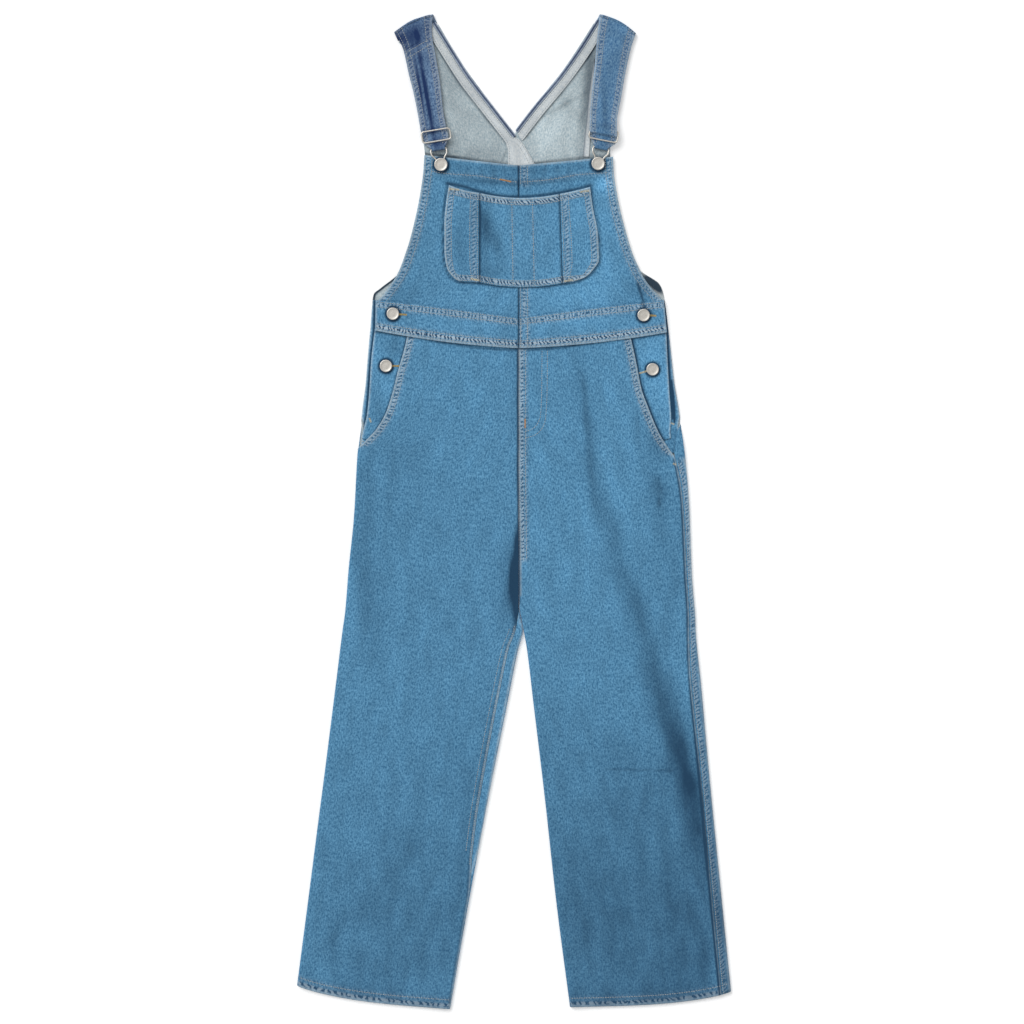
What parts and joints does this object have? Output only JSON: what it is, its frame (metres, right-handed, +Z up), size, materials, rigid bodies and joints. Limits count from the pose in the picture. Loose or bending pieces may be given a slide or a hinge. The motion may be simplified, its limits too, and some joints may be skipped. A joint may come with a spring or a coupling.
{
  "type": "denim dungarees laid flat",
  "caption": "Full-length denim dungarees laid flat, front up, with bib, bib pocket, buckled shoulder straps, side buttons and straight legs.",
  "frame": {"origin": "middle of the laid garment's footprint, on the surface it lies on", "axes": "+X to the right-hand side of the laid garment seen from above, +Y from the hems to the shoulders, +Z up from the surface"},
  "size_m": [0.5636, 1.2934, 0.0102],
  "materials": {
    "denim": "matte",
    "denim_inside": "matte",
    "strap_denim": "matte",
    "nickel": "satin"
  },
  "bodies": {
    "root": {"back_leg_left": "denim", "back_leg_right": "denim", "bib_button_left": "nickel", "bib_button_right": "nickel", "bib_left": "denim", "bib_pocket_left": "denim", "bib_pocket_middle": "denim", "bib_pocket_right": "denim", "bib_right": "denim", "button_hip_left": "nickel", "button_hip_right": "nickel", "button_stand_left": "denim", "button_stand_right": "denim", "button_waist_left": "nickel", "button_waist_right": "nickel", "front_leg_left": "denim", "front_leg_right": "denim", "hook_left": "nickel", "hook_right": "nickel", "pocket_facing_left": "denim", "pocket_facing_right": "denim", "slide_left": "nickel", "slide_right": "nickel", "strap_left": "strap_denim", "strap_right": "strap_denim", "upper_back_left": "denim_inside", "upper_back_right": "denim_inside", "v_band_left": "denim_inside", "v_band_right": "denim_inside", "waistband_left": "denim", "waistband_right": "denim"}
  },
  "joints": []
}
